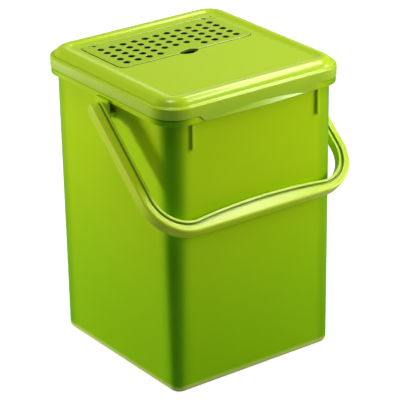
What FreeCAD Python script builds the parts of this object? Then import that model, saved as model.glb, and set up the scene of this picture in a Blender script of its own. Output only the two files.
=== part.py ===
import FreeCAD, Part
import math
import os

os.makedirs("parts", exist_ok=True)

# Kitchen compost caddy in millimetres. The origin is on the floor under the middle of the
# bucket, +Z is up and the front looks towards -Y.

# Bucket walls
BUCKET_HEIGHT = 269.3
BASE_HALF_X = 91.5
BASE_HALF_Y = 93.5
TOP_HALF_X = 95.0
TOP_HALF_Y = 97.0
BASE_CORNER_R = 10.0
TOP_CORNER_R = 18.5
WALL = 2.2
FLOOR = 2.5
BASE_EDGE_R = 5.5

# Rim band under the lid, and its cut-away at the front where fingers lift the lid
RIM_REACH_X = 6.7
RIM_REACH_Y = 5.9
RIM_DEPTH = 5.6
RIM_WALL = 2.0
RIM_EDGE_R = 1.0
CUT_HALF_TOP = 68.0
CUT_HALF_LOW = 62.0

# Stiffening ribs at the ends of the cut-away
FRONT_RIB_X = 71.2
FRONT_RIB_WIDTH = 3.0
FRONT_RIB_PROUD = 2.0
FRONT_RIB_LENGTH = 26.5

# Lid shell: skirt, cove, rounded crest and sunk top panel
LID_REACH = 0.8
LID_LIFT = 0.6
LID_CORNER_R = 26.5
LID_WALL = 1.8
SKIRT_DEPTH = 10.4
SKIRT_EDGE_R = 1.2
COVE_INSET = 2.6
COVE_R = 1.6
SLOPE_ANGLE = math.radians(60.0)
CREST_INSET = 12.5
CREST_RISE = 7.08
CREST_WALL = 2.3
PANEL_INSET = 21.5
PANEL_SINK = 1.98
SEAT_RING_OUT = 6.6
SEAT_RING_IN = 9.6
SEAT_RING_DEPTH = 4.1
SEAT_GAP = 0.3

# Finger lip that hangs from the lid into the rim's cut-away
LIP_GAP = 1.1
LIP_CLEAR_LOW = 0.2
FLARE_HALF = 57.0
FLARE_RISE = 4.8
FLARE_REACH = 2.3

# Lid hinge behind the rim
HINGE_REACH = 6.05
HINGE_DROP = 1.6
HINGE_ROD_R = 3.0
HINGE_EYE_R = 4.6
HINGE_X = 53.0
KNUCKLE_WIDTH = 22.0
CHEEK_WIDTH = 4.0
CHEEK_GAP = 0.5
SNAP_SLOT = 5.0

# Vent flap over the filter well
FLAP_HALF_X = 75.9
FLAP_FRONT_Y = 4.9
FLAP_AXIS_Y = 71.7
FLAP_THICK = 2.5
FLAP_PROUD = 0.6
FLAP_FRONT_R = 7.0
FLAP_REAR_R = 1.0
FLAP_EDGE_R = 0.5
FLAP_GAP = 0.5
FLAP_REAR_GAP = 0.5
POCKET_REAR_R = 1.2
LEDGE = 2.6
LEDGE_GAP = 0.5
VENT_R = 3.5
VENT_PLATE = 1.2
VENT_MARGIN = 1.0
VENT_COLUMNS = 11
VENT_ROWS = 5
VENT_PITCH_X = 12.61
VENT_PITCH_Y = 10.75
VENT_MID_Y = 36.9
VENT_SKIP = 1
NOTCH_HALF = 10.6
NOTCH_IN_PANEL = 5.7
NOTCH_IN_FLAP = 4.6
FLAP_PIN_R = 1.25
FLAP_PIN_X = 64.0
HOOK_WIDTH = 4.6
HOOK_GAP = 0.4
HOOK_WALL = 1.9
HOOK_MOUTH = 0.8

# Filter well under the flap and the carbon pad in it
PAD_HALF_X = 70.0
PAD_FRONT_Y = 12.0
PAD_REAR_Y = 66.0
PAD_THICK = 7.8
PAD_CORNER_R = 4.0
PAD_EDGE_R = 1.6
PAD_HEADROOM = 0.3
WELL_FLOOR = 2.0
AIR_SLOT_WIDTH = 3.5
AIR_SLOT_PITCH = 9.0
AIR_SLOTS = 15

# Carrying handle: a channel-section bail on two pins
PIVOT_Y = -3.0
PIVOT_DROP = 8.0
HANDLE_CLEAR = 2.1
HANDLE_WIDTH = 11.4
HANDLE_REACH = 142.8
HANDLE_DEPTH = 13.0
HANDLE_BEND_R = 42.0
HANDLE_ARCH = 4.2
HANDLE_EDGE_R = 2.0
HANDLE_INNER_DEPTH = 9.0
HANDLE_WEB = 5.0
OUTER_LEG = 3.0
INNER_LEG = 2.4
GROOVE_INSET = 2.4
GROOVE_WIDTH = 2.6
GROOVE_DEPTH = 3.0
SOLID_END = 12.0
WALL_REST_GAP = 0.5
EAR_R = 9.9
EAR_PLATE = 2.4
EAR_BACK = 2.2
EAR_SHELF_DROP = 2.3
EAR_RISE = 2.0
EAR_GAP = 0.4
HANDLE_PIN_R = 3.95
PIN_END_GAP = 0.4

RUNNING_CLEARANCE = 0.05
OVERCUT = 1.0

# Sizes that follow from those above
RIM_HALF_X = TOP_HALF_X + RIM_REACH_X
RIM_HALF_Y = TOP_HALF_Y + RIM_REACH_Y
RIM_TOP_Z = BUCKET_HEIGHT + RIM_DEPTH
RIM_CORNER_R = TOP_CORNER_R + RIM_REACH_X
LID_HALF_X = RIM_HALF_X + LID_REACH
LID_HALF_Y = RIM_HALF_Y + LID_REACH
SKIRT_Z = RIM_TOP_Z + LID_LIFT
SKIRT_TOP_Z = SKIRT_Z + SKIRT_DEPTH
CREST_Z = SKIRT_TOP_Z + CREST_RISE
PANEL_Z = CREST_Z - PANEL_SINK
LID_UNDER_Z = PANEL_Z - LID_WALL
BUCKET_TOP_Z = LID_UNDER_Z - SEAT_RING_DEPTH - SEAT_GAP
LIP_Z = BUCKET_HEIGHT + LIP_CLEAR_LOW
HINGE_Y = RIM_HALF_Y + HINGE_REACH
HINGE_Z = RIM_TOP_Z - HINGE_DROP
FLAP_TOP_Z = PANEL_Z + FLAP_PROUD
FLAP_AXIS_Z = FLAP_TOP_Z - FLAP_THICK
POCKET_REAR_Y = FLAP_AXIS_Y + FLAP_THICK + FLAP_REAR_GAP
LEDGE_Z = FLAP_AXIS_Z - LEDGE_GAP
PAD_Z = FLAP_AXIS_Z - PAD_HEADROOM - PAD_THICK
WELL_Z = PAD_Z - WELL_FLOOR
PIVOT_Z = BUCKET_HEIGHT - PIVOT_DROP
HANDLE_INNER_X = LID_HALF_X + HANDLE_CLEAR
HANDLE_OUTER_X = HANDLE_INNER_X + HANDLE_WIDTH
HANDLE_HALF_DEPTH = HANDLE_DEPTH / 2
HANDLE_INNER_LOW = HANDLE_HALF_DEPTH - HANDLE_INNER_DEPTH
EAR_X = HANDLE_INNER_X - EAR_GAP
PIN_END_X = EAR_X - EAR_PLATE


def vec(x, y, z):
    return FreeCAD.Vector(x, y, z)


def block(x0, x1, y0, y1, z0, z1):
    return Part.makeBox(x1 - x0, y1 - y0, z1 - z0, vec(x0, y0, z0))


def rod_along_x(radius, x0, x1, y, z):
    return Part.makeCylinder(radius, x1 - x0, vec(x0, y, z), vec(1, 0, 0))


def mirrored_pair(shape):
    return [shape, shape.mirror(vec(0, 0, 0), vec(1, 0, 0))]


def joined(shapes):
    return shapes[0].multiFuse(shapes[1:]).removeSplitter()


def rounded_wire(x0, x1, y0, y1, front_r, rear_r, z):
    """Rectangle with rounded corners; the front corners are the two at y0."""
    corners = [
        (x0, y0, front_r, 1, 1),
        (x1, y0, front_r, -1, 1),
        (x1, y1, rear_r, -1, -1),
        (x0, y1, rear_r, 1, -1),
    ]
    half_turn = 1 - math.sqrt(0.5)
    arcs = []
    for index, (x, y, r, sx, sy) in enumerate(corners):
        along_y = vec(x, y + sy * r, z)
        along_x = vec(x + sx * r, y, z)
        middle = vec(x + sx * r * half_turn, y + sy * r * half_turn, z)
        ends = (along_y, along_x) if index % 2 == 0 else (along_x, along_y)
        arcs.append((ends[0], middle, ends[1]))
    edges = []
    for index, (start, middle, end) in enumerate(arcs):
        edges.append(Part.Arc(start, middle, end).toShape())
        following = arcs[(index + 1) % len(arcs)][0]
        edges.append(Part.makeLine(end, following))
    return Part.Wire(edges)


def rounded_block(x0, x1, y0, y1, front_r, rear_r, z0, z1):
    face = Part.Face(rounded_wire(x0, x1, y0, y1, front_r, rear_r, z0))
    return face.extrude(vec(0, 0, z1 - z0))


def centred_block(half_x, half_y, r, z0, z1):
    return rounded_block(-half_x, half_x, -half_y, half_y, r, r, z0, z1)


def section_face(steps, place):
    """Closed face from (a, b) line ends and ((a, b), (c, d)) arcs given by middle and end."""
    start = place(*steps[0])
    here = start
    edges = []
    for step in steps[1:]:
        if isinstance(step[0], tuple):
            end = place(*step[1])
            edges.append(Part.Arc(here, place(*step[0]), end).toShape())
        else:
            end = place(*step)
            edges.append(Part.makeLine(here, end))
        here = end
    edges.append(Part.makeLine(here, start))
    return Part.Face(Part.Wire(edges))


def ring_from_section(steps, half_x, half_y, corner_r):
    """Run a section of (inset, height) points round a rounded rectangle."""
    straight_x = half_x - corner_r
    straight_y = half_y - corner_r
    rear = section_face(steps, lambda inset, z: vec(-straight_x, half_y - inset, z))
    rear = rear.extrude(vec(2 * straight_x, 0, 0))
    side = section_face(steps, lambda inset, z: vec(half_x - inset, -straight_y, z))
    corner = side.copy()
    side = side.extrude(vec(0, 2 * straight_y, 0))
    corner = corner.revolve(vec(straight_x, -straight_y, 0), vec(0, 0, 1), -90)
    pieces = [rear, rear.mirror(vec(0, 0, 0), vec(0, 1, 0))]
    pieces += mirrored_pair(side)
    pieces += mirrored_pair(corner)
    pieces += mirrored_pair(corner.mirror(vec(0, 0, 0), vec(0, 1, 0)))
    return joined(pieces)


def wall_half_x(z):
    return BASE_HALF_X + (TOP_HALF_X - BASE_HALF_X) * z / BUCKET_HEIGHT


def tub_wire(z, shrink):
    """Outline of the tapered wall at height z, drawn in by shrink."""
    share = z / BUCKET_HEIGHT
    half_x = wall_half_x(z) - shrink
    half_y = BASE_HALF_Y + (TOP_HALF_Y - BASE_HALF_Y) * share - shrink
    r = BASE_CORNER_R + (TOP_CORNER_R - BASE_CORNER_R) * share - shrink
    return rounded_wire(-half_x, half_x, -half_y, half_y, r, r, z)


def tub_outside():
    solid = Part.makeLoft([tub_wire(0, 0), tub_wire(BUCKET_TOP_Z, 0)], True, True)
    foot = [e for e in solid.Edges if e.BoundBox.ZMax < OVERCUT]
    return solid.makeFillet(BASE_EDGE_R, foot)


def tub_inside():
    solid = Part.makeLoft([tub_wire(FLOOR, WALL), tub_wire(BUCKET_TOP_Z + OVERCUT, WALL)], True, True)
    foot = [e for e in solid.Edges if e.BoundBox.ZMax < FLOOR + OVERCUT]
    return solid.makeFillet(BASE_EDGE_R - WALL, foot)


def rim_band():
    """Flange with a turned-down edge, open at the front between two slanted ends."""
    low = BUCKET_HEIGHT
    band = centred_block(RIM_HALF_X, RIM_HALF_Y, RIM_CORNER_R, low, RIM_TOP_Z)
    top_edges = [e for e in band.Edges if e.BoundBox.ZMin > RIM_TOP_Z - RIM_EDGE_R / 2]
    band = band.makeFillet(RIM_EDGE_R, top_edges)
    hollow = centred_block(
        RIM_HALF_X - RIM_WALL,
        RIM_HALF_Y - RIM_WALL,
        RIM_CORNER_R - RIM_WALL,
        low - OVERCUT,
        RIM_TOP_Z - RIM_WALL,
    )
    lean = (CUT_HALF_TOP - CUT_HALF_LOW) / RIM_DEPTH
    half_low = CUT_HALF_LOW - lean * OVERCUT
    half_top = CUT_HALF_TOP + lean * OVERCUT
    cut = section_face(
        [
            (-half_low, low - OVERCUT),
            (half_low, low - OVERCUT),
            (half_top, RIM_TOP_Z + OVERCUT),
            (-half_top, RIM_TOP_Z + OVERCUT),
        ],
        lambda x, z: vec(x, -RIM_HALF_Y - OVERCUT, z),
    )
    cut = cut.extrude(vec(0, RIM_REACH_Y + WALL + OVERCUT, 0))
    return band.cut(hollow).cut(cut)


def front_ribs():
    rib = block(
        FRONT_RIB_X - FRONT_RIB_WIDTH / 2,
        FRONT_RIB_X + FRONT_RIB_WIDTH / 2,
        -TOP_HALF_Y - FRONT_RIB_PROUD,
        -TOP_HALF_Y + WALL,
        BUCKET_HEIGHT - FRONT_RIB_LENGTH,
        BUCKET_HEIGHT + RIM_WALL,
    )
    return mirrored_pair(rib)


def handle_ears():
    """Round-bottomed lugs under the rim that the handle's pins turn in."""
    root = wall_half_x(PIVOT_Z - EAR_R) - WALL / 2
    boss = rod_along_x(EAR_R, root, EAR_X, PIVOT_Y, PIVOT_Z)
    neck = block(
        root, EAR_X, PIVOT_Y - EAR_R, PIVOT_Y + EAR_R, PIVOT_Z, BUCKET_HEIGHT + EAR_RISE
    )
    return mirrored_pair(boss.fuse(neck))


def ear_pockets():
    """Hollows behind the outer plates of the ears, open to the front."""
    pocket = block(
        wall_half_x(PIVOT_Z),
        EAR_X - EAR_PLATE,
        PIVOT_Y - EAR_R - OVERCUT,
        PIVOT_Y + EAR_R - EAR_BACK,
        PIVOT_Z - EAR_SHELF_DROP,
        BUCKET_HEIGHT,
    )
    return mirrored_pair(pocket)


def ear_bores():
    bore = rod_along_x(
        HANDLE_PIN_R + RUNNING_CLEARANCE,
        PIN_END_X - PIN_END_GAP,
        EAR_X + OVERCUT,
        PIVOT_Y,
        PIVOT_Z,
    )
    return mirrored_pair(bore)


def hinge_rods():
    """Two rods behind the rim, each moulded between a pair of cheeks."""
    pieces = []
    half_gap = KNUCKLE_WIDTH / 2 + CHEEK_GAP
    for side in (-1, 1):
        x0 = HINGE_X + side * (half_gap + CHEEK_WIDTH / 2) - CHEEK_WIDTH / 2
        x1 = x0 + CHEEK_WIDTH
        web_y = RIM_HALF_Y - RIM_WALL
        web = block(x0, x1, web_y, HINGE_Y, HINGE_Z - HINGE_EYE_R, HINGE_Z)
        pieces.append(web)
        pieces.append(rod_along_x(HINGE_EYE_R, x0, x1, HINGE_Y, HINGE_Z))
    reach = half_gap + CHEEK_WIDTH / 2
    pieces.append(rod_along_x(HINGE_ROD_R, HINGE_X - reach, HINGE_X + reach, HINGE_Y, HINGE_Z))
    return mirrored_pair(joined(pieces))


def bucket():
    ears = joined(handle_ears()).cut(Part.makeCompound(ear_pockets() + ear_bores()))
    body = joined([tub_outside(), rim_band(), ears] + front_ribs() + hinge_rods())
    return body.cut(tub_inside()).removeSplitter()


def lid_section():
    """Outside of the lid from the skirt's foot to the panel, then back along the inside."""
    sine = math.sin(SLOPE_ANGLE)
    cosine = math.cos(SLOPE_ANGLE)
    half = SLOPE_ANGLE / 2
    round_in = SKIRT_EDGE_R * (1 - math.sqrt(0.5))
    cove_z = SKIRT_TOP_Z + COVE_R
    cove_end = (COVE_INSET + COVE_R * sine, cove_z - COVE_R * cosine)
    run = CREST_INSET - cove_end[0]
    rise = CREST_Z - cove_end[1]
    brow_r = (run * math.tan(SLOPE_ANGLE) - rise) / (sine * sine / cosine - 1 + cosine)
    brow_start = (CREST_INSET - brow_r * sine, CREST_Z - brow_r * (1 - cosine))
    brow_mid = (CREST_INSET - brow_r * math.sin(half), CREST_Z - brow_r * (1 - math.cos(half)))
    fall_run = (PANEL_INSET - CREST_INSET) / 2
    fall_drop = PANEL_SINK / 2
    fall_r = (fall_run**2 + fall_drop**2) / (2 * fall_drop)
    fall_half = math.atan2(fall_drop, fall_run)
    bend_run = fall_r * math.sin(fall_half)
    bend_drop = fall_r * (1 - math.cos(fall_half))
    fall_middle = (CREST_INSET + fall_run, CREST_Z - fall_drop)
    inner_edge = PANEL_INSET + LID_WALL
    slope_in = (cove_end[0] + LID_WALL * sine, cove_end[1] - LID_WALL * cosine)
    ring_z = LID_UNDER_Z - SEAT_RING_DEPTH
    ring_top = slope_in[1] + (SEAT_RING_OUT - slope_in[0]) * math.tan(SLOPE_ANGLE)
    ledge_z = SKIRT_TOP_Z - LID_WALL
    ledge_in = slope_in[0] - (slope_in[1] - ledge_z) / math.tan(SLOPE_ANGLE)
    return [
        (0, SKIRT_Z),
        (0, SKIRT_TOP_Z - SKIRT_EDGE_R),
        ((round_in, SKIRT_TOP_Z - round_in), (SKIRT_EDGE_R, SKIRT_TOP_Z)),
        (COVE_INSET, SKIRT_TOP_Z),
        ((COVE_INSET + COVE_R * math.sin(half), cove_z - COVE_R * math.cos(half)), cove_end),
        brow_start,
        (brow_mid, (CREST_INSET, CREST_Z)),
        ((CREST_INSET + bend_run, CREST_Z - bend_drop), fall_middle),
        ((PANEL_INSET - bend_run, PANEL_Z + bend_drop), (PANEL_INSET, PANEL_Z)),
        (inner_edge, PANEL_Z),
        (inner_edge, LID_UNDER_Z),
        (PANEL_INSET, LID_UNDER_Z),
        (CREST_INSET, CREST_Z - CREST_WALL),
        (SEAT_RING_IN, CREST_Z - CREST_WALL),
        (SEAT_RING_IN, ring_z),
        (SEAT_RING_OUT, ring_z),
        (SEAT_RING_OUT, ring_top),
        (ledge_in, ledge_z),
        (LID_WALL, ledge_z),
        (LID_WALL, SKIRT_Z),
    ]


def lid_panel():
    margin = PANEL_INSET + LID_WALL / 2
    return centred_block(
        LID_HALF_X - margin,
        LID_HALF_Y - margin,
        LID_CORNER_R - margin,
        LID_UNDER_Z,
        PANEL_Z,
    )


def flare_drum(reach, face_y):
    """Big leaning drum whose front makes the lens-shaped flare on a face at face_y."""
    lean = math.atan2(FLARE_REACH, FLARE_RISE)
    radius = (FLARE_HALF**2 + FLARE_REACH**2) / (2 * FLARE_REACH)
    drum_length = 20 * FLARE_RISE
    axis = vec(0, math.sin(lean), math.cos(lean))
    inward = vec(0, math.cos(lean), -math.sin(lean))
    front = vec(0, face_y - reach, LIP_Z)
    base = front + inward * radius - axis * (drum_length / 2)
    return Part.makeCylinder(radius, drum_length, base, axis)


def front_lip():
    """Tongue of the skirt that hangs in the rim's cut-away, flared for the fingers."""
    lean = (CUT_HALF_TOP - CUT_HALF_LOW) / RIM_DEPTH
    half_low = CUT_HALF_LOW + lean * LIP_CLEAR_LOW - LIP_GAP
    root_z = SKIRT_Z + LID_WALL
    half_top = half_low + lean * (root_z - LIP_Z)
    front_y = -LID_HALF_Y
    back_y = front_y + LID_WALL
    tongue = section_face(
        [(-half_low, LIP_Z), (half_low, LIP_Z), (half_top, root_z), (-half_top, root_z)],
        lambda x, z: vec(x, front_y, z),
    )
    tongue = tongue.extrude(vec(0, LID_WALL, 0))
    flare_room = block(
        -half_low, half_low, front_y - 2 * FLARE_REACH, front_y + LID_WALL / 2, LIP_Z, SKIRT_Z
    )
    scoop_room = block(
        -half_low, half_low, back_y - 2 * FLARE_REACH, back_y + LID_WALL, LIP_Z - OVERCUT, SKIRT_Z
    )
    flare = flare_drum(FLARE_REACH, front_y).common(flare_room)
    scoop = flare_drum(FLARE_REACH, back_y).common(scoop_room)
    return tongue.fuse(flare).cut(scoop)


def notch_lens(grow, z0, z1):
    """Finger notch: a lens across the front edge of the flap."""
    half = NOTCH_HALF + grow
    tip_y = FLAP_FRONT_Y - FLAP_GAP / 2
    front = tip_y - NOTCH_IN_PANEL - grow
    rear = FLAP_FRONT_Y + NOTCH_IN_FLAP + grow
    left = vec(-half, tip_y, z0)
    right = vec(half, tip_y, z0)
    edges = [
        Part.Arc(left, vec(0, front, z0), right).toShape(),
        Part.Arc(right, vec(0, rear, z0), left).toShape(),
    ]
    return Part.Face(Part.Wire(edges)).extrude(vec(0, 0, z1 - z0))


def pocket_block(inset, z0, z1):
    """Block that fills the flap's pocket, drawn in by inset at the front and sides."""
    half = FLAP_HALF_X + FLAP_GAP - inset
    front_y = FLAP_FRONT_Y - FLAP_GAP + inset
    front_r = FLAP_FRONT_R + FLAP_GAP
    rear_y = POCKET_REAR_Y - min(inset, 0)
    return rounded_block(-half, half, front_y, rear_y, front_r, POCKET_REAR_R, z0, z1)


def well_outside():
    collar = pocket_block(-LID_WALL, LEDGE_Z - LID_WALL, LID_UNDER_Z)
    tray = pocket_block(LEDGE - LID_WALL, WELL_Z, LEDGE_Z)
    rear = block(
        -FLAP_HALF_X + POCKET_REAR_R,
        FLAP_HALF_X - POCKET_REAR_R,
        POCKET_REAR_Y - LID_WALL,
        POCKET_REAR_Y + LID_WALL,
        WELL_Z,
        LID_UNDER_Z,
    )
    return [collar, tray, rear, notch_lens(LID_WALL, WELL_Z, LID_UNDER_Z)]


def well_inside():
    top = PANEL_Z + OVERCUT
    shelf = pocket_block(0, LEDGE_Z, top)
    tray = pocket_block(LEDGE, PAD_Z, LEDGE_Z + OVERCUT)
    return [shelf, tray, notch_lens(0, PAD_Z, top)]


def air_slots():
    first = -(AIR_SLOTS - 1) * AIR_SLOT_PITCH / 2
    end_margin = 2 * AIR_SLOT_WIDTH
    slots = []
    for index in range(AIR_SLOTS):
        x = first + index * AIR_SLOT_PITCH
        slot = block(
            x - AIR_SLOT_WIDTH / 2,
            x + AIR_SLOT_WIDTH / 2,
            PAD_FRONT_Y + end_margin,
            PAD_REAR_Y - end_margin,
            WELL_Z - OVERCUT,
            PAD_Z + OVERCUT,
        )
        slots.append(slot)
    return slots


def flap_hooks():
    """Snap hooks on the well's rear wall that hold the flap's two pins."""
    x0 = FLAP_PIN_X - HOOK_WIDTH / 2
    x1 = FLAP_PIN_X + HOOK_WIDTH / 2
    bore_r = FLAP_PIN_R + RUNNING_CLEARANCE
    outer_r = bore_r + HOOK_WALL
    eye = rod_along_x(outer_r, x0, x1, FLAP_AXIS_Y, FLAP_AXIS_Z)
    arm = block(x0, x1, FLAP_AXIS_Y, POCKET_REAR_Y + LID_WALL / 2, FLAP_AXIS_Z - outer_r, LEDGE_Z)
    mouth = block(
        x0 - OVERCUT,
        x1 + OVERCUT,
        FLAP_AXIS_Y - 2 * outer_r,
        POCKET_REAR_Y - FLAP_REAR_GAP,
        FLAP_AXIS_Z + HOOK_MOUTH,
        FLAP_AXIS_Z + 2 * outer_r,
    )
    bore = rod_along_x(bore_r, x0 - OVERCUT, x1 + OVERCUT, FLAP_AXIS_Y, FLAP_AXIS_Z)
    return mirrored_pair(eye.fuse(arm).cut(mouth).cut(bore))


def lid_knuckles():
    """Open eyes behind the skirt that snap on to the bucket's hinge rods."""
    x0 = HINGE_X - KNUCKLE_WIDTH / 2
    x1 = HINGE_X + KNUCKLE_WIDTH / 2
    eye = rod_along_x(HINGE_EYE_R, x0, x1, HINGE_Y, HINGE_Z)
    arm = block(x0, x1, LID_HALF_Y - LID_WALL / 2, HINGE_Y, SKIRT_Z, HINGE_Z + HINGE_EYE_R)
    bore = rod_along_x(
        HINGE_ROD_R + RUNNING_CLEARANCE, x0 - OVERCUT, x1 + OVERCUT, HINGE_Y, HINGE_Z
    )
    mouth = block(
        x0 - OVERCUT,
        x1 + OVERCUT,
        HINGE_Y - SNAP_SLOT / 2,
        HINGE_Y + SNAP_SLOT / 2,
        HINGE_Z - 2 * HINGE_EYE_R,
        HINGE_Z,
    )
    return mirrored_pair(eye.fuse(arm).cut(bore).cut(mouth))


def lid():
    ring = ring_from_section(lid_section(), LID_HALF_X, LID_HALF_Y, LID_CORNER_R)
    shell = joined([ring, lid_panel(), front_lip()] + well_outside() + lid_knuckles())
    shell = shell.cut(Part.makeCompound(well_inside())).cut(Part.makeCompound(air_slots()))
    return joined([shell] + flap_hooks())


def vents():
    """Round holes through the flap, over one shallow hollow that leaves the plate thin there."""
    middle_column = (VENT_COLUMNS - 1) / 2
    middle_row = (VENT_ROWS - 1) / 2
    around = VENT_R + VENT_MARGIN
    half_x = middle_column * VENT_PITCH_X + around
    half_y = middle_row * VENT_PITCH_Y + around
    hollow = rounded_block(
        -half_x,
        half_x,
        VENT_MID_Y - half_y,
        VENT_MID_Y + half_y,
        VENT_R,
        VENT_R,
        FLAP_AXIS_Z - OVERCUT,
        FLAP_TOP_Z - VENT_PLATE,
    )
    cuts = [hollow]
    for row in range(VENT_ROWS):
        for column in range(VENT_COLUMNS):
            if row == 0 and abs(column - middle_column) <= VENT_SKIP:
                continue
            x = (column - middle_column) * VENT_PITCH_X
            y = VENT_MID_Y + (row - middle_row) * VENT_PITCH_Y
            start = vec(x, y, FLAP_AXIS_Z)
            cuts.append(Part.makeCylinder(VENT_R, FLAP_THICK + OVERCUT, start))
    return cuts


def filter_flap():
    """Perforated plate with a round bead along its rear edge, thinned to pins at the hooks."""
    plate = rounded_block(
        -FLAP_HALF_X,
        FLAP_HALF_X,
        FLAP_FRONT_Y,
        FLAP_AXIS_Y,
        FLAP_FRONT_R,
        FLAP_REAR_R,
        FLAP_AXIS_Z,
        FLAP_TOP_Z,
    )
    notch = notch_lens(0, FLAP_AXIS_Z - OVERCUT, FLAP_TOP_Z + OVERCUT)
    plate = plate.cut(notch)
    front_end = FLAP_FRONT_Y + FLAP_FRONT_R + FLAP_EDGE_R
    front_edges = []
    for edge in plate.Edges:
        box = edge.BoundBox
        if box.ZMin > FLAP_TOP_Z - FLAP_EDGE_R / 2 and box.YMax < front_end:
            front_edges.append(edge)
    plate = plate.makeFillet(FLAP_EDGE_R, front_edges)
    bead_half = FLAP_HALF_X - LEDGE
    bead = rod_along_x(FLAP_THICK, -bead_half, bead_half, FLAP_AXIS_Y, FLAP_AXIS_Z)
    pin_half = HOOK_WIDTH / 2 + HOOK_GAP
    hook_r = FLAP_PIN_R + RUNNING_CLEARANCE + HOOK_WALL
    slot = block(
        FLAP_PIN_X - pin_half,
        FLAP_PIN_X + pin_half,
        FLAP_AXIS_Y - hook_r - HOOK_GAP,
        FLAP_AXIS_Y + 2 * FLAP_THICK,
        FLAP_AXIS_Z - 2 * FLAP_THICK,
        FLAP_TOP_Z + OVERCUT,
    )
    pin = rod_along_x(
        FLAP_PIN_R, FLAP_PIN_X - pin_half - OVERCUT, bead_half, FLAP_AXIS_Y, FLAP_AXIS_Z
    )
    body = plate.fuse(bead)
    for cutter in mirrored_pair(slot) + vents():
        body = body.cut(cutter)
    return joined([body] + mirrored_pair(pin))


def carbon_filter():
    """Loose pad of carbon fibre felt with soft rounded edges."""
    pad = rounded_block(
        -PAD_HALF_X,
        PAD_HALF_X,
        PAD_FRONT_Y,
        PAD_REAR_Y,
        PAD_CORNER_R,
        PAD_CORNER_R,
        PAD_Z,
        PAD_Z + PAD_THICK,
    )
    middle_z = PAD_Z + PAD_THICK / 2
    rims = [e for e in pad.Edges if e.BoundBox.ZMin > middle_z or e.BoundBox.ZMax < middle_z]
    return pad.makeFillet(PAD_EDGE_R, rims)


def bail_prism(half_x, reach, bend_r, arch, start, z0, z1):
    """Flat U lying along -Y from start to reach, its cross-bar bowed back by arch."""
    turn = half_x - bend_r
    knee = reach - bend_r
    diagonal = bend_r * math.sqrt(0.5)
    left = Part.Arc(
        vec(-half_x, -knee, z0), vec(-turn - diagonal, -knee - diagonal, z0), vec(-turn, -reach, z0)
    )
    right = Part.Arc(
        vec(turn, -reach, z0), vec(turn + diagonal, -knee - diagonal, z0), vec(half_x, -knee, z0)
    )
    if arch > 0:
        bar = Part.Arc(vec(-turn, -reach, z0), vec(0, -reach + arch, z0), vec(turn, -reach, z0))
        bar = bar.toShape()
    else:
        bar = Part.makeLine(vec(-turn, -reach, z0), vec(turn, -reach, z0))
    edges = [
        Part.makeLine(vec(-half_x, -start, z0), vec(-half_x, -knee, z0)),
        left.toShape(),
        bar,
        right.toShape(),
        Part.makeLine(vec(half_x, -knee, z0), vec(half_x, -start, z0)),
        Part.makeLine(vec(half_x, -start, z0), vec(-half_x, -start, z0)),
    ]
    return Part.Face(Part.Wire(edges)).extrude(vec(0, 0, z1 - z0))


def outer_bail(inset, start, z0, z1):
    return bail_prism(
        HANDLE_OUTER_X - inset, HANDLE_REACH - inset, HANDLE_BEND_R - inset, 0, start, z0, z1
    )


def inner_bail(grow, start, z0, z1):
    narrow = HANDLE_WIDTH - grow
    return bail_prism(
        HANDLE_OUTER_X - narrow,
        HANDLE_REACH - narrow,
        HANDLE_BEND_R - narrow,
        HANDLE_ARCH,
        start,
        z0,
        z1,
    )


def rest_angle():
    """Angle below level at which the grip's inner lower edge comes to the front wall."""
    taper = (TOP_HALF_Y - BASE_HALF_Y) / BUCKET_HEIGHT
    reach = HANDLE_REACH - HANDLE_WIDTH - HANDLE_ARCH
    low = HANDLE_INNER_LOW
    cos_part = reach - low * taper
    sin_part = low + reach * taper
    target = BASE_HALF_Y + PIVOT_Y + PIVOT_Z * taper + WALL_REST_GAP
    return math.acos(target / math.hypot(cos_part, sin_part)) + math.atan2(sin_part, cos_part)


def outer_top_edges(shape):
    """Edges round the outside of the flat bail, with the round ends of its arms."""
    knee = HANDLE_REACH - HANDLE_BEND_R
    turn = HANDLE_OUTER_X - HANDLE_BEND_R
    found = []
    for edge in shape.Edges:
        middle = edge.valueAt((edge.FirstParameter + edge.LastParameter) / 2)
        beyond = math.hypot(max(abs(middle.x) - turn, 0), max(-middle.y - knee, 0))
        on_top = edge.BoundBox.ZMin > HANDLE_HALF_DEPTH - OVERCUT
        on_end = middle.y > OVERCUT and edge.BoundBox.XLength < OVERCUT
        on_end = on_end and edge.BoundBox.ZLength > HANDLE_HALF_DEPTH
        if abs(beyond - HANDLE_BEND_R) < OVERCUT and (on_top or on_end):
            found.append(edge)
    return found


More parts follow.
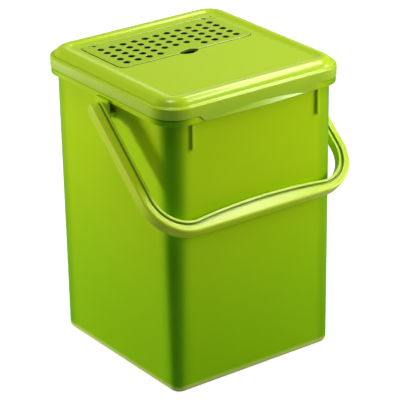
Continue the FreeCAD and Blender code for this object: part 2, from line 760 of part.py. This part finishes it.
def handle():
    """Bail built flat about its pivot, then swung down until the grip lies on the front wall."""
    top = HANDLE_HALF_DEPTH
    low = -HANDLE_HALF_DEPTH
    flat = outer_bail(0, 0, low, top).cut(inner_bail(0, -OVERCUT, low - OVERCUT, top + OVERCUT))
    ends = mirrored_pair(rod_along_x(HANDLE_HALF_DEPTH, HANDLE_INNER_X, HANDLE_OUTER_X, 0, 0))
    body = joined([flat] + ends)
    body = body.makeFillet(HANDLE_EDGE_R, outer_top_edges(body))
    skirted = outer_bail(OUTER_LEG, SOLID_END, low - OVERCUT, HANDLE_INNER_LOW)
    channel = outer_bail(OUTER_LEG, SOLID_END, low - OVERCUT, top - HANDLE_WEB)
    channel = channel.cut(inner_bail(INNER_LEG, 0, low - 2 * OVERCUT, top))
    groove_z = top - GROOVE_DEPTH
    past_end = -HANDLE_DEPTH
    groove = inner_bail(GROOVE_INSET + GROOVE_WIDTH, past_end, groove_z, top + OVERCUT)
    groove = groove.cut(inner_bail(GROOVE_INSET, 2 * past_end, groove_z - OVERCUT, top + 2 * OVERCUT))
    body = body.cut(skirted).cut(channel).cut(groove)
    pin = rod_along_x(HANDLE_PIN_R, PIN_END_X, HANDLE_INNER_X + OVERCUT, 0, 0)
    body = joined([body] + mirrored_pair(pin))
    body.rotate(vec(0, 0, 0), vec(1, 0, 0), math.degrees(rest_angle()))
    body.translate(vec(0, PIVOT_Y, PIVOT_Z))
    return body


PIECES = {
    "bucket": bucket,
    "lid": lid,
    "filter_flap": filter_flap,
    "carbon_filter": carbon_filter,
    "handle": handle,
}

for name, make in PIECES.items():
    make().exportStep(os.path.join("parts", name + ".step"))
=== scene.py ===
import math

import bmesh
import bpy
from mathutils import Matrix, Vector


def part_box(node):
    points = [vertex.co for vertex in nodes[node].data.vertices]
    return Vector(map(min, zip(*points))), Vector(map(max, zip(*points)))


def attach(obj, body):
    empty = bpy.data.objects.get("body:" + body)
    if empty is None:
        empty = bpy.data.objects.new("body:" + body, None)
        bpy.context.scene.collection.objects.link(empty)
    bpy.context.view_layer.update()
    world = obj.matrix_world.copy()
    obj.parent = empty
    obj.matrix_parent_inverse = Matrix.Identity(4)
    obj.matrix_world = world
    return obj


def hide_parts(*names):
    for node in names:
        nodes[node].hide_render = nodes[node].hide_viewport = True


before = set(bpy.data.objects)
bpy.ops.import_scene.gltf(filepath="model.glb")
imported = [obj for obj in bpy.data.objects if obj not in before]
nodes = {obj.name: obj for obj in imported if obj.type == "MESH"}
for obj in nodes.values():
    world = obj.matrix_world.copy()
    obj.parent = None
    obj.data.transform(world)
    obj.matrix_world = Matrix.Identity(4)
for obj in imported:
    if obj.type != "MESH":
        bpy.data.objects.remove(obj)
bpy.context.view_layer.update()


# Bucket: a tall square tub of lime green polypropylene, injection moulded in one piece with
# its rim, handle ears, front ribs and hinge rods. The steel of the mould leaves a soft satin
# skin and faint upright draw marks on the walls; a paler band along the foot is a painted
# highlight.

class Thread:
    """A socket in a material. Arithmetic on threads adds Math nodes."""

    def __init__(self, tree, socket=None):
        self.tree = tree
        self.socket = socket

    def node(self, kind, settings=None, sockets=None, out=0):
        made = self.tree.nodes.new(kind)
        for name, value in (settings or {}).items():
            setattr(made, name, value)
        for key, value in (sockets or {}).items():
            if isinstance(value, Thread):
                self.tree.links.new(value.socket, made.inputs[key])
            else:
                made.inputs[key].default_value = value
        return Thread(self.tree, made.outputs[out] if made.outputs else None)

    def maths(self, operation, first, second=0.0, clamp=False):
        settings = {"operation": operation, "use_clamp": clamp}
        return self.node("ShaderNodeMath", settings, {0: first, 1: second})

    def __add__(self, other):
        return self.maths("ADD", self, other)

    def __radd__(self, other):
        return self.maths("ADD", other, self)

    def __sub__(self, other):
        return self.maths("SUBTRACT", self, other)

    def __rsub__(self, other):
        return self.maths("SUBTRACT", other, self)

    def __mul__(self, other):
        return self.maths("MULTIPLY", self, other)

    def __rmul__(self, other):
        return self.maths("MULTIPLY", other, self)

    def __abs__(self):
        return self.maths("ABSOLUTE", self)

    def clamped(self):
        return self.maths("ADD", self, 0.0, clamp=True)

    def between(self, low, high):
        """0 where the value is at low, 1 at high, smooth between."""
        settings = {"interpolation_type": "SMOOTHSTEP"}
        sockets = {"Value": self, "From Min": low, "From Max": high}
        return self.node("ShaderNodeMapRange", settings, sockets)

    def tint(self, first, second):
        """Mix of two colours with this thread as the factor."""
        # A Mix node has its colours at inputs 6 and 7 and their mix at output 2
        return self.node("ShaderNodeMix", {"data_type": "RGBA"}, {0: self, 6: first, 7: second}, out=2)


def new_material(name):
    material = bpy.data.materials.new(name)
    material.use_nodes = True
    material.node_tree.nodes.clear()
    return material, Thread(material.node_tree)


def painted_shade_of(green, red_left, green_left):
    """The same green darkened as painted shade, with less red and green left in it."""
    return (green[0] * red_left, green[1] * green_left, green[2], 1.0)


def moulded_green(
    name, high, low, shade_heights, corner_shade_reach, pale, foot_highlight, draw_marks, shine, side_shade=0.0
):
    """Satin polypropylene with painted shade low down, in corners and in crevices, and painted highlights
    on edges.

    The colour goes from low to high between the two shade_heights, darker low down as painted shade,
    and a corner gets painted shade between the two distances of corner_shade_reach from the middle,
    in metres. side_shade paints shade on upright faces.
    """
    material, make = new_material(name)
    spot = make.node("ShaderNodeTexCoord", out="Object")
    x, y, z = (make.node("ShaderNodeSeparateXYZ", None, {"Vector": spot}, out=axis) for axis in "XYZ")

    # The mould's traces: soft clouding, upright draw marks, a fine skin over a broader peel
    noise = "ShaderNodeTexNoise"
    cloud = make.node(noise, None, {"Vector": spot, "Scale": 16.0, "Detail": 3.0, "Roughness": 0.55})
    upright = make.node("ShaderNodeMapping", None, {"Vector": spot, "Scale": (260.0, 260.0, 3.0)})
    marks = make.node(noise, None, {"Vector": upright, "Scale": 1.0, "Detail": 2.0})
    skin = make.node(noise, None, {"Vector": spot, "Scale": 1400.0, "Detail": 2.0, "Roughness": 0.6})
    peel = make.node(noise, None, {"Vector": spot, "Scale": 210.0, "Detail": 1.0})

    # Wear and painted light: fine slanting scuffs as real wear, painted shade in crevices that shut
    # light out, and painted highlights on edges
    scratched = (0.69, 0.82)
    slant = {"Vector": spot, "Rotation": (0.4, 0.9, 0.3), "Scale": (900.0, 30.0, 60.0)}
    scuff_turn = make.node("ShaderNodeMapping", None, slant)
    scuff_noise = make.node(noise, None, {"Vector": scuff_turn, "Scale": 1.0, "Detail": 3.0})
    scuff = scuff_noise.between(*scratched)
    shut_in = (0.3, 0.85)
    own_form = {"samples": 8, "only_local": True}
    openness = make.node("ShaderNodeAmbientOcclusion", own_form, {"Distance": 0.006}, out="AO")
    crevice_shade = 1.0 - openness.between(*shut_in)
    edge_turn = (0.01, 0.2)
    facing = make.node("ShaderNodeNewGeometry", out="Normal")
    softened = make.node("ShaderNodeBevel", {"samples": 6}, {"Radius": 0.0012})
    dot = {"operation": "DOT_PRODUCT"}
    turn = make.node("ShaderNodeVectorMath", dot, {0: facing, 1: softened}, out="Value")
    edge = (1.0 - turn).between(*edge_turn) * (1.0 - crevice_shade)

    # Where shade and highlights are painted: by height, in upright corners, along the foot, and on
    # faces that stand upright
    waver_share = 0.08
    waver = (cloud - 0.5) * waver_share
    # Painted shade: lower parts take the darker low colour
    height = (z + waver * (shade_heights[1] - shade_heights[0])).between(*shade_heights)
    corner_shade = abs(x).between(*corner_shade_reach) * abs(y).between(*corner_shade_reach)
    foot_highlight_band = (0.003, 0.0085)
    foot = 1.0 - z.between(*foot_highlight_band)
    level_share = (0.3, 0.7)
    own_facing = make.node("ShaderNodeTexCoord", out="Normal")
    lean = make.node("ShaderNodeSeparateXYZ", None, {"Vector": own_facing}, out="Z")
    on_side = 1.0 - abs(lean).between(*level_share)

    corner_shade_share, crevice_shade_share, edge_highlight_share, foot_highlight_share, scuff_share = 0.9, 0.6, 0.6, 0.8, 0.06
    base = height.tint(low, high)
    # Painted shade: upright corners take a darker green
    base = (corner_shade * corner_shade_share).tint(base, painted_shade_of(low, red_left=0.33, green_left=0.62))
    # Painted shade: upright faces take a much darker green
    base = (on_side * side_shade).tint(base, painted_shade_of(low, red_left=0.12, green_left=0.2))
    # Painted shade in crevices that the piece itself closes in
    base = (crevice_shade * crevice_shade_share).tint(base, painted_shade_of(low, red_left=0.28, green_left=0.5))
    # Painted highlight: edges where the surface turns take the pale colour; the scuffs below are real wear
    base = (edge * edge_highlight_share).tint(base, pale)
    # Painted highlight: a pale band along the foot
    base = (foot * foot_highlight_share).tint(base, foot_highlight)
    base = (scuff * scuff_share).tint(base, pale)

    satin, scuff_dulling, edge_polish = 0.21, 0.1, 0.1
    rough = satin + waver + (marks - 0.5) * draw_marks + scuff * scuff_dulling
    skin_share = 0.35
    relief = skin * skin_share + peel * (1.0 - skin_share)
    dents = {"Strength": 0.08, "Distance": 0.0003, "Height": relief, "Normal": softened}
    bumped = make.node("ShaderNodeBump", None, dents)
    surface = make.node(
        "ShaderNodeBsdfPrincipled",
        None,
        {
            "Base Color": base,
            "Roughness": rough.clamped(),
            "Normal": bumped,
            "IOR": 1.49,
            "Specular IOR Level": shine,
            "Coat Weight": edge * edge_polish,
            "Coat Roughness": 0.15,
        },
    )
    make.node("ShaderNodeOutputMaterial", None, {"Surface": surface})
    return material


def dress(node_name, material):
    piece = nodes[node_name]
    for place in piece.material_slots:
        place.material = material


bucket_green = moulded_green(
    "bucket_green",
    high=(0.47, 0.71, 0.006, 1.0),
    low=(0.28, 0.565, 0.003, 1.0),
    shade_heights=(0.02, 0.26),
    corner_shade_reach=(0.070, 0.092),
    pale=(0.66, 0.82, 0.14, 1.0),
    foot_highlight=(0.78, 0.90, 0.26, 1.0),
    draw_marks=0.08,
    shine=0.05,
)
dress("bucket", bucket_green)


# Lid: one moulding of the same plastic with a skirt, a cove, a rounded crest and a sunk top
# panel. A flared lip hangs at the front for the fingers, the filter well hangs under the rear
# half, and two snap eyes behind hold it on the bucket's hinge rods.

lid_green = moulded_green(
    "lid_green",
    high=(0.475, 0.68, 0.010, 1.0),
    low=(0.37, 0.61, 0.006, 1.0),
    shade_heights=(0.272, 0.290),
    corner_shade_reach=(0.084, 0.104),
    pale=(0.68, 0.84, 0.20, 1.0),
    foot_highlight=(0.68, 0.84, 0.20, 1.0),
    draw_marks=0.02,
    shine=0.6,
)
dress("lid", lid_green)


# Vent flap: a thin perforated plate of the same plastic, let into the lid and standing just
# proud of its panel. A bead along its rear edge thins to two pins that snap into hooks in the
# lid. Its upright faces, the walls of the vents above all, are painted darker as shade.

# The caddy ends before this reach, so a piece with it gets no painted corner shade
past_the_corners = (0.2, 0.3)
flap_green = moulded_green(
    "flap_green",
    high=(0.40, 0.61, 0.014, 1.0),
    low=(0.36, 0.58, 0.008, 1.0),
    shade_heights=(0.286, 0.291),
    corner_shade_reach=past_the_corners,
    pale=(0.66, 0.82, 0.18, 1.0),
    foot_highlight=(0.66, 0.82, 0.18, 1.0),
    draw_marks=0.02,
    shine=0.5,
    side_shade=0.9,
)
dress("filter_flap", flap_green)


# Carbon filter: a loose pad of black felt loaded with carbon grains, cut to size and laid in
# the well under the flap. Its cut edges are soft and its faces are slightly uneven.

def felt_pad(name, low, high, corner, cuts):
    """Closed pad inside a box: a grid wrapped over rounded edges, lightly uneven on top."""
    size = high - low
    centre = (low + high) / 2
    ripple_x, ripple_y, wander = 310.0, 240.0, 1.7
    dip_depth = 0.0003
    no_distance = 1e-6
    mesh = bpy.data.meshes.new(name)
    sheet = bmesh.new()
    bmesh.ops.create_cube(sheet, size=1.0)
    bmesh.ops.subdivide_edges(sheet, edges=sheet.edges[:], cuts=cuts, use_grid_fill=True)
    for vertex in sheet.verts:
        place = Vector(vertex.co[i] * size[i] for i in range(3))
        inner = [size[i] / 2 - corner[i] for i in range(3)]
        core = Vector(max(-inner[i], min(inner[i], place[i])) for i in range(3))
        away = Vector((place[i] - core[i]) / corner[i] for i in range(3))
        if away.length > no_distance:
            reach = max(abs(a) for a in away)
            away = away.normalized() * reach
        spot = core + Vector(away[i] * corner[i] for i in range(3))
        if spot.z > 0:
            dip = 0.5 + 0.5 * math.sin(spot.x * ripple_x + wander * math.sin(spot.y * ripple_y))
            spot.z -= dip_depth * dip
        vertex.co = centre + spot
    sheet.to_mesh(mesh)
    sheet.free()
    for face in mesh.polygons:
        face.use_smooth = True
    pad = bpy.data.objects.new(name, mesh)
    bpy.context.collection.objects.link(pad)
    return pad


def carbon_felt(name):
    """Matted black fibres with patches of denser pile and small shiny grains of carbon."""
    material, make = new_material(name)
    soot, worn_black = (0.003, 0.003, 0.003, 1.0), (0.022, 0.022, 0.021, 1.0)
    grain_black = (0.012, 0.012, 0.013, 1.0)
    spot = make.node("ShaderNodeTexCoord", out="Object")
    drawn_out = {"Vector": spot, "Rotation": (0.0, 0.0, 0.6), "Scale": (500.0, 2600.0, 2600.0)}
    fibre_turn = make.node("ShaderNodeMapping", None, drawn_out)
    matted = {"Vector": fibre_turn, "Scale": 1.0, "Detail": 4.0, "Distortion": 1.5}
    fibre = make.node("ShaderNodeTexNoise", None, matted)
    grain = make.node("ShaderNodeTexVoronoi", None, {"Vector": spot, "Scale": 1300.0})
    grain_rim = (0.08, 0.3)
    glint = 1.0 - grain.between(*grain_rim)
    patch = make.node("ShaderNodeTexNoise", None, {"Vector": spot, "Scale": 60.0, "Detail": 2.0})
    raised, fibre_share, patch_share, grain_share = (0.35, 0.75), 0.6, 0.3, 0.5
    base = (fibre.between(*raised) * fibre_share + patch * patch_share).tint(soot, worn_black)
    base = (glint * grain_share).tint(base, grain_black)
    matt, grain_polish = 0.95, 0.45
    rough = matt - glint * grain_polish
    fibre_rise = 0.7
    pile = fibre * fibre_rise + glint * (1.0 - fibre_rise)
    bumped = make.node("ShaderNodeBump", None, {"Strength": 0.7, "Distance": 0.0006, "Height": pile})
    surface = make.node(
        "ShaderNodeBsdfPrincipled",
        None,
        {
            "Base Color": base,
            "Roughness": rough,
            "Normal": bumped,
            "Sheen Weight": 0.05,
            "Sheen Roughness": 0.6,
        },
    )
    make.node("ShaderNodeOutputMaterial", None, {"Surface": surface})
    return material


pad_low, pad_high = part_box("carbon_filter")
pad_corner = (0.004, 0.004, 0.0022)
pad_cuts = 40
carbon_pad = felt_pad("carbon_pad", Vector(pad_low), Vector(pad_high), pad_corner, pad_cuts)
carbon_pad.data.materials.append(carbon_felt("carbon_felt"))
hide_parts("carbon_filter")
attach(carbon_pad, "lid")


# Handle: a channel-section bail moulded in the same green, a groove along its face, with
# two pins that turn in the bucket's ears.

handle_green = moulded_green(
    "handle_green",
    high=(0.57, 0.76, 0.012, 1.0),
    low=(0.53, 0.72, 0.010, 1.0),
    shade_heights=(0.16, 0.26),
    corner_shade_reach=past_the_corners,
    pale=(0.68, 0.84, 0.20, 1.0),
    foot_highlight=(0.68, 0.84, 0.20, 1.0),
    draw_marks=0.02,
    shine=0.55,
)
dress("handle", handle_green)


# Floor: a plain pale sheet. It shows white to the camera and still takes the soft shadow
# of the caddy; light that bounces off it is a quiet grey.

floor_reach = 6.0
floor_signs = ((-1, -1), (1, -1), (1, 1), (-1, 1))
floor_corners = [(across * floor_reach, along * floor_reach, 0.0) for across, along in floor_signs]
floor_mesh = bpy.data.meshes.new("floor")
floor_mesh.from_pydata(floor_corners, [], [(0, 1, 2, 3)])
floor = bpy.data.objects.new("floor", floor_mesh)
bpy.context.collection.objects.link(floor)
floor_white, ground = new_material("floor_white")
seen = ground.node("ShaderNodeLightPath", out="Is Camera Ray")
matt_grey = ground.node("ShaderNodeBsdfDiffuse", None, {"Color": (0.36, 0.36, 0.36, 1.0)})
sheet_light = ground.node("ShaderNodeEmission", None, {"Color": (1.0, 1.0, 1.0, 1.0), "Strength": 0.86})
lit = ground.node("ShaderNodeAddShader", None, {0: matt_grey, 1: sheet_light})
shown = ground.node("ShaderNodeMixShader", None, {0: seen, 1: matt_grey, 2: lit})
ground.node("ShaderNodeOutputMaterial", None, {"Surface": shown})
floor_mesh.materials.append(floor_white)


# Light: a box low behind to the left, kept out of reflections, a box low in front to the
# right, a long bank above the right, a sheet above the left and a faint glow behind to the
# right, in a pale room. The near corner, which no box faces, stays darker, and painted corner
# shade in the materials darkens it further.

room = bpy.data.worlds.new("white_room")
room.use_nodes = True
room.node_tree.nodes.clear()
air = Thread(room.node_tree)
straight = air.node("ShaderNodeLightPath", out="Is Camera Ray")
glow = air.node("ShaderNodeBackground", None, {"Color": (0.82, 1.0, 0.86, 1.0), "Strength": 0.22})
white = air.node("ShaderNodeBackground", None, {"Color": (1.0, 1.0, 1.0, 1.0), "Strength": 1.0})
both = air.node("ShaderNodeMixShader", None, {0: straight, 1: glow, 2: white})
air.node("ShaderNodeOutputWorld", None, {"Surface": both})
bpy.context.scene.world = room


def soft_box(name, place, aim, width, height, power):
    """A warm rectangular lamp, in metres and watts, that looks from its place to its aim."""
    away = (Vector(place) - Vector(aim)).normalized()
    lamp = bpy.data.lights.new(name, "AREA")
    lamp.shape = "RECTANGLE"
    lamp.size = width
    lamp.size_y = height
    lamp.energy = power
    lamp.color = (1.0, 0.94, 0.8)
    box = bpy.data.objects.new(name, lamp)
    box.location = place
    box.rotation_mode = "QUATERNION"
    box.rotation_quaternion = away.to_track_quat("Z", "Y")
    bpy.context.collection.objects.link(box)
    return box


rear_strip = soft_box(
    "rear_strip", place=(-0.68, 1.00, 0.14), aim=(0.0, 0.0, 0.14), width=0.22, height=0.22, power=12.8
)
rear_strip.visible_glossy = False
soft_box("right_low", place=(0.66, -0.53, 0.44), aim=(0.0, -0.1, 0.2), width=0.45, height=0.22, power=4.6)
soft_box("right_bank", place=(0.68, -0.15, 1.17), aim=(0.0, -0.15, 0.28), width=1.5, height=0.16, power=9.0)
soft_box("top_left", place=(-0.40, -0.08, 1.6), aim=(-0.1, -0.05, 0.25), width=0.5, height=0.5, power=7.4)
soft_box("back_glow", place=(0.87, 1.10, 0.46), aim=(0.0, 0.0, 0.29), width=1.2, height=0.3, power=0.60)


# Camera: the photograph's viewpoint, a long lens from the front left, looking down at the
# caddy, with a slight roll.

camera_data = bpy.data.cameras.new("camera")
camera_data.sensor_width = 36.0
camera_data.sensor_fit = "HORIZONTAL"
camera_data.lens = 195.75
camera_data.clip_end = 50.0
camera = bpy.data.objects.new("camera", camera_data)
standpoint = (-1.1149, -1.5494, 0.9719)
swing, tilt, roll = math.radians(-35.89), math.radians(23.51), math.radians(-0.96)
back = Vector((math.sin(swing) * math.cos(tilt), -math.cos(swing) * math.cos(tilt), math.sin(tilt)))
level = Vector((math.cos(swing), math.sin(swing), 0.0))
upright = back.cross(level)
right = level * math.cos(roll) + upright * math.sin(roll)
top = upright * math.cos(roll) - level * math.sin(roll)
turned = Matrix((right, top, back)).transposed()
camera.matrix_world = Matrix.Translation(standpoint) @ turned.to_4x4()
bpy.context.collection.objects.link(camera)
bpy.context.scene.camera = camera
bpy.context.scene.view_settings.view_transform = "Standard"
